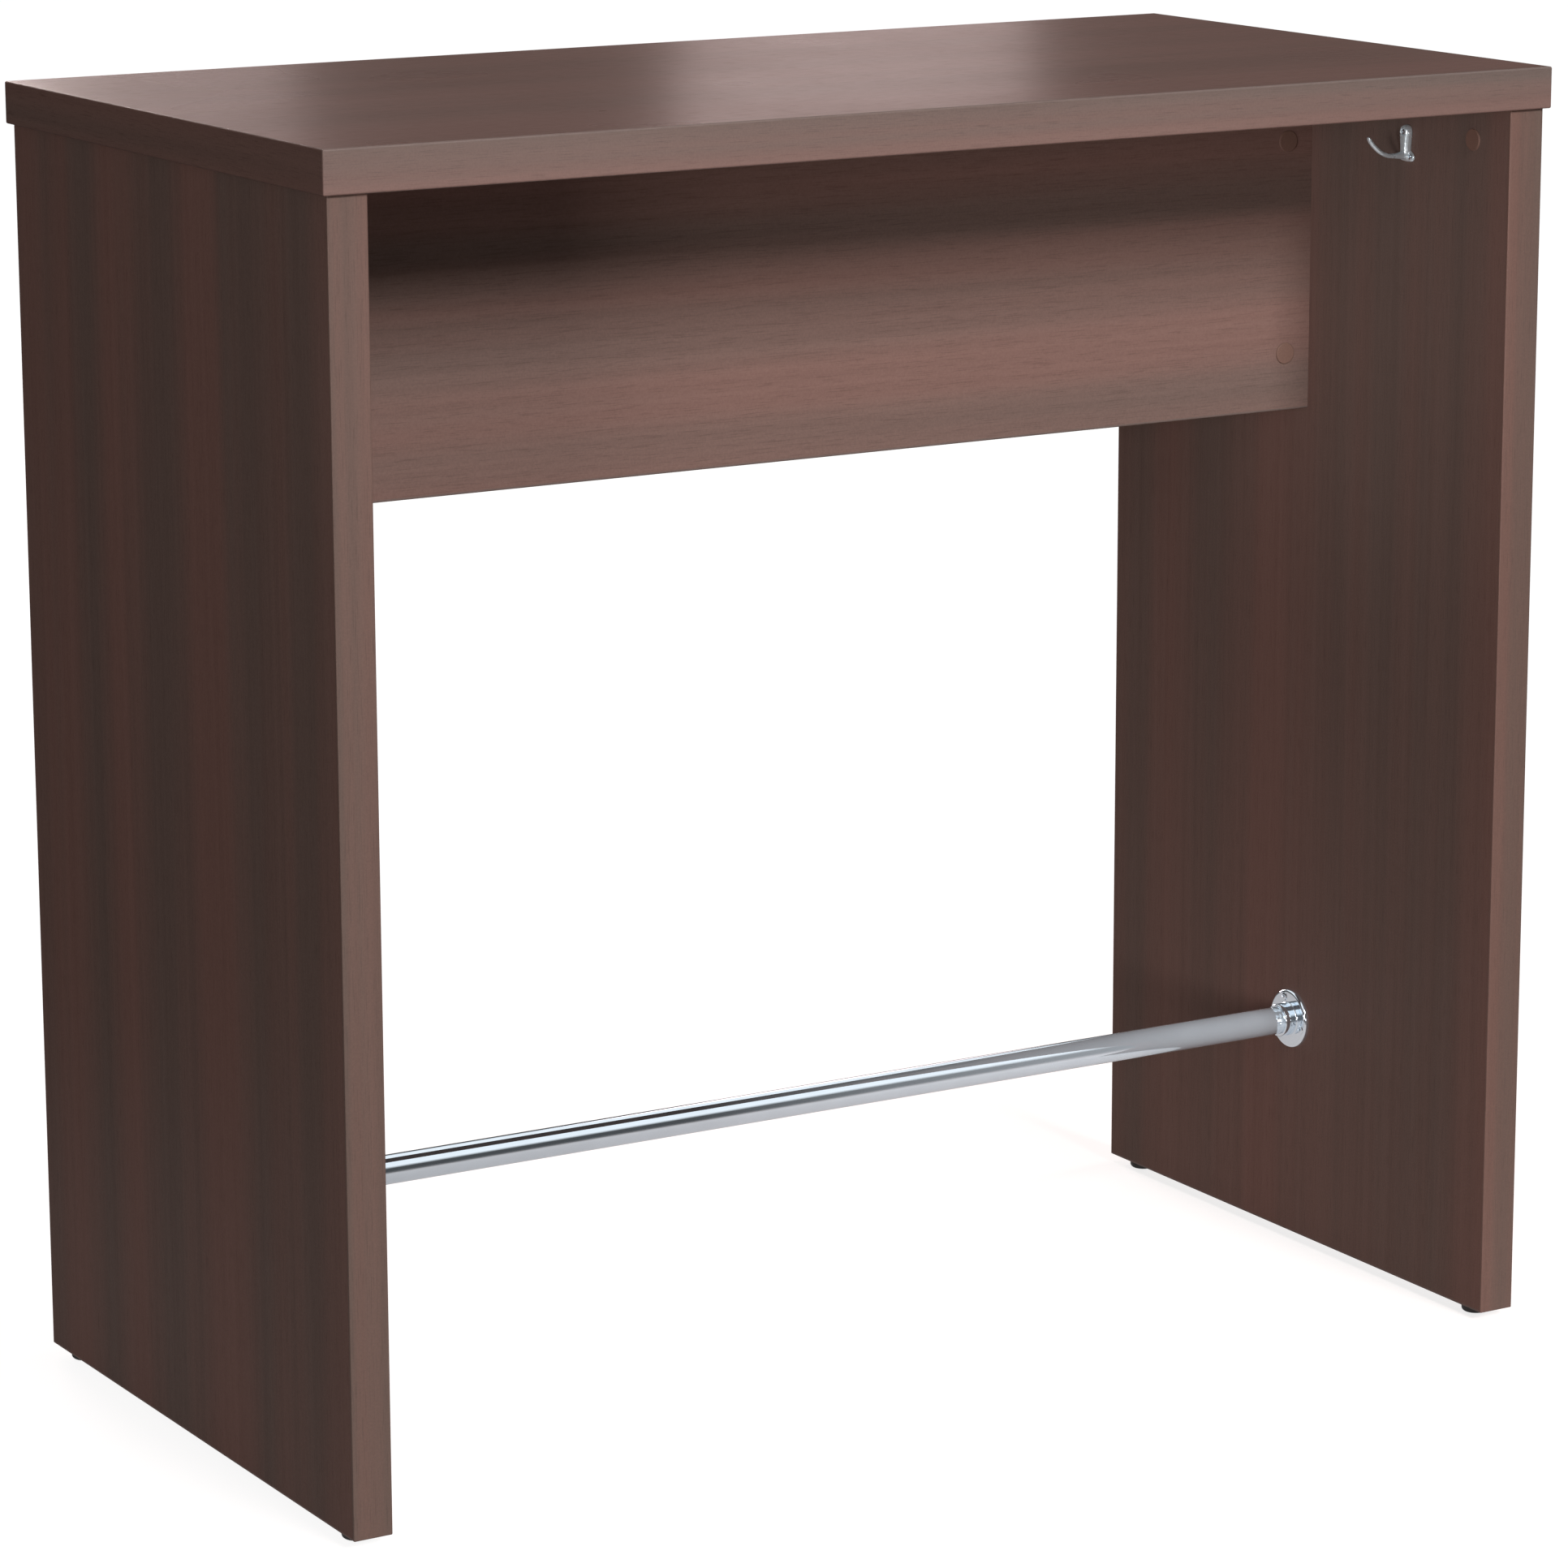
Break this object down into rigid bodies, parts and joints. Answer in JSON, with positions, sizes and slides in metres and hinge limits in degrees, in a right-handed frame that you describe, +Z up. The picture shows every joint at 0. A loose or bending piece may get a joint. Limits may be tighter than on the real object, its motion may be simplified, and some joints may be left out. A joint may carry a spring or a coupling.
{
  "type": "standing desk",
  "caption": "Free-standing high desk: slab top on two side panels, short modesty panel, tubular foot rail between round flanges, bag hook, screw-in levelling feet.",
  "frame": {"origin": "on the floor, under the middle of the top", "axes": "+X to the user's right along the desk, +Y away from the user to the rear, +Z up"},
  "size_m": [1.15, 0.59, 1.1],
  "materials": {
    "board": "satin dark brown woodgrain melamine on particle board",
    "edge_band": "satin woodgrain plastic edging",
    "cam_zinc": "die-cast zinc",
    "bolt_steel": "zinc plated",
    "cover_cap": "moulded, brown",
    "dowel_beech": "plain beech",
    "chrome": "polished chrome plating",
    "screw_steel": "bright plated",
    "sleeve_steel": "zinc plated",
    "foot_nylon": "black moulded nylon",
    "stem_steel": "zinc plated thread"
  },
  "bodies": {
    "desk": {"top_panel": "board", "left_side_panel": "board", "right_side_panel": "board", "modesty_panel": "board", "top_front_band": "edge_band", "top_rear_band": "edge_band", "top_left_band": "edge_band", "top_right_band": "edge_band", "left_side_front_band": "edge_band", "left_side_rear_band": "edge_band", "left_side_bottom_band": "edge_band", "right_side_front_band": "edge_band", "right_side_rear_band": "edge_band", "right_side_bottom_band": "edge_band", "modesty_bottom_band": "edge_band", "side_cam_discs": "cam_zinc", "modesty_cam_discs": "cam_zinc", "side_cam_bolts": "bolt_steel", "modesty_cam_bolts": "bolt_steel", "side_cam_caps": "cover_cap", "modesty_cam_caps": "cover_cap", "side_dowels": "dowel_beech", "modesty_dowels": "dowel_beech", "foot_rail": "chrome", "left_rail_flange": "chrome", "right_rail_flange": "chrome", "bag_hook": "chrome", "rail_flange_screws": "screw_steel", "hook_screws": "screw_steel", "rail_set_screws": "screw_steel", "foot_sleeves": "sleeve_steel"},
    "left_front_leveller": {"left_front_foot_pad": "foot_nylon", "left_front_foot_stem": "stem_steel"},
    "left_rear_leveller": {"left_rear_foot_pad": "foot_nylon", "left_rear_foot_stem": "stem_steel"},
    "right_front_leveller": {"right_front_foot_pad": "foot_nylon", "right_front_foot_stem": "stem_steel"},
    "right_rear_leveller": {"right_rear_foot_pad": "foot_nylon", "right_rear_foot_stem": "stem_steel"}
  },
  "joints": [
    {"name": "left_front_leveller_travel", "type": "slide", "parent": "desk", "child": "left_front_leveller", "axis": [0, 0, -1], "range_m": [0, 0.012]},
    {"name": "left_rear_leveller_travel", "type": "slide", "parent": "desk", "child": "left_rear_leveller", "axis": [0, 0, -1], "range_m": [0, 0.012]},
    {"name": "right_front_leveller_travel", "type": "slide", "parent": "desk", "child": "right_front_leveller", "axis": [0, 0, -1], "range_m": [0, 0.012]},
    {"name": "right_rear_leveller_travel", "type": "slide", "parent": "desk", "child": "right_rear_leveller", "axis": [0, 0, -1], "range_m": [0, 0.012]}
  ]
}
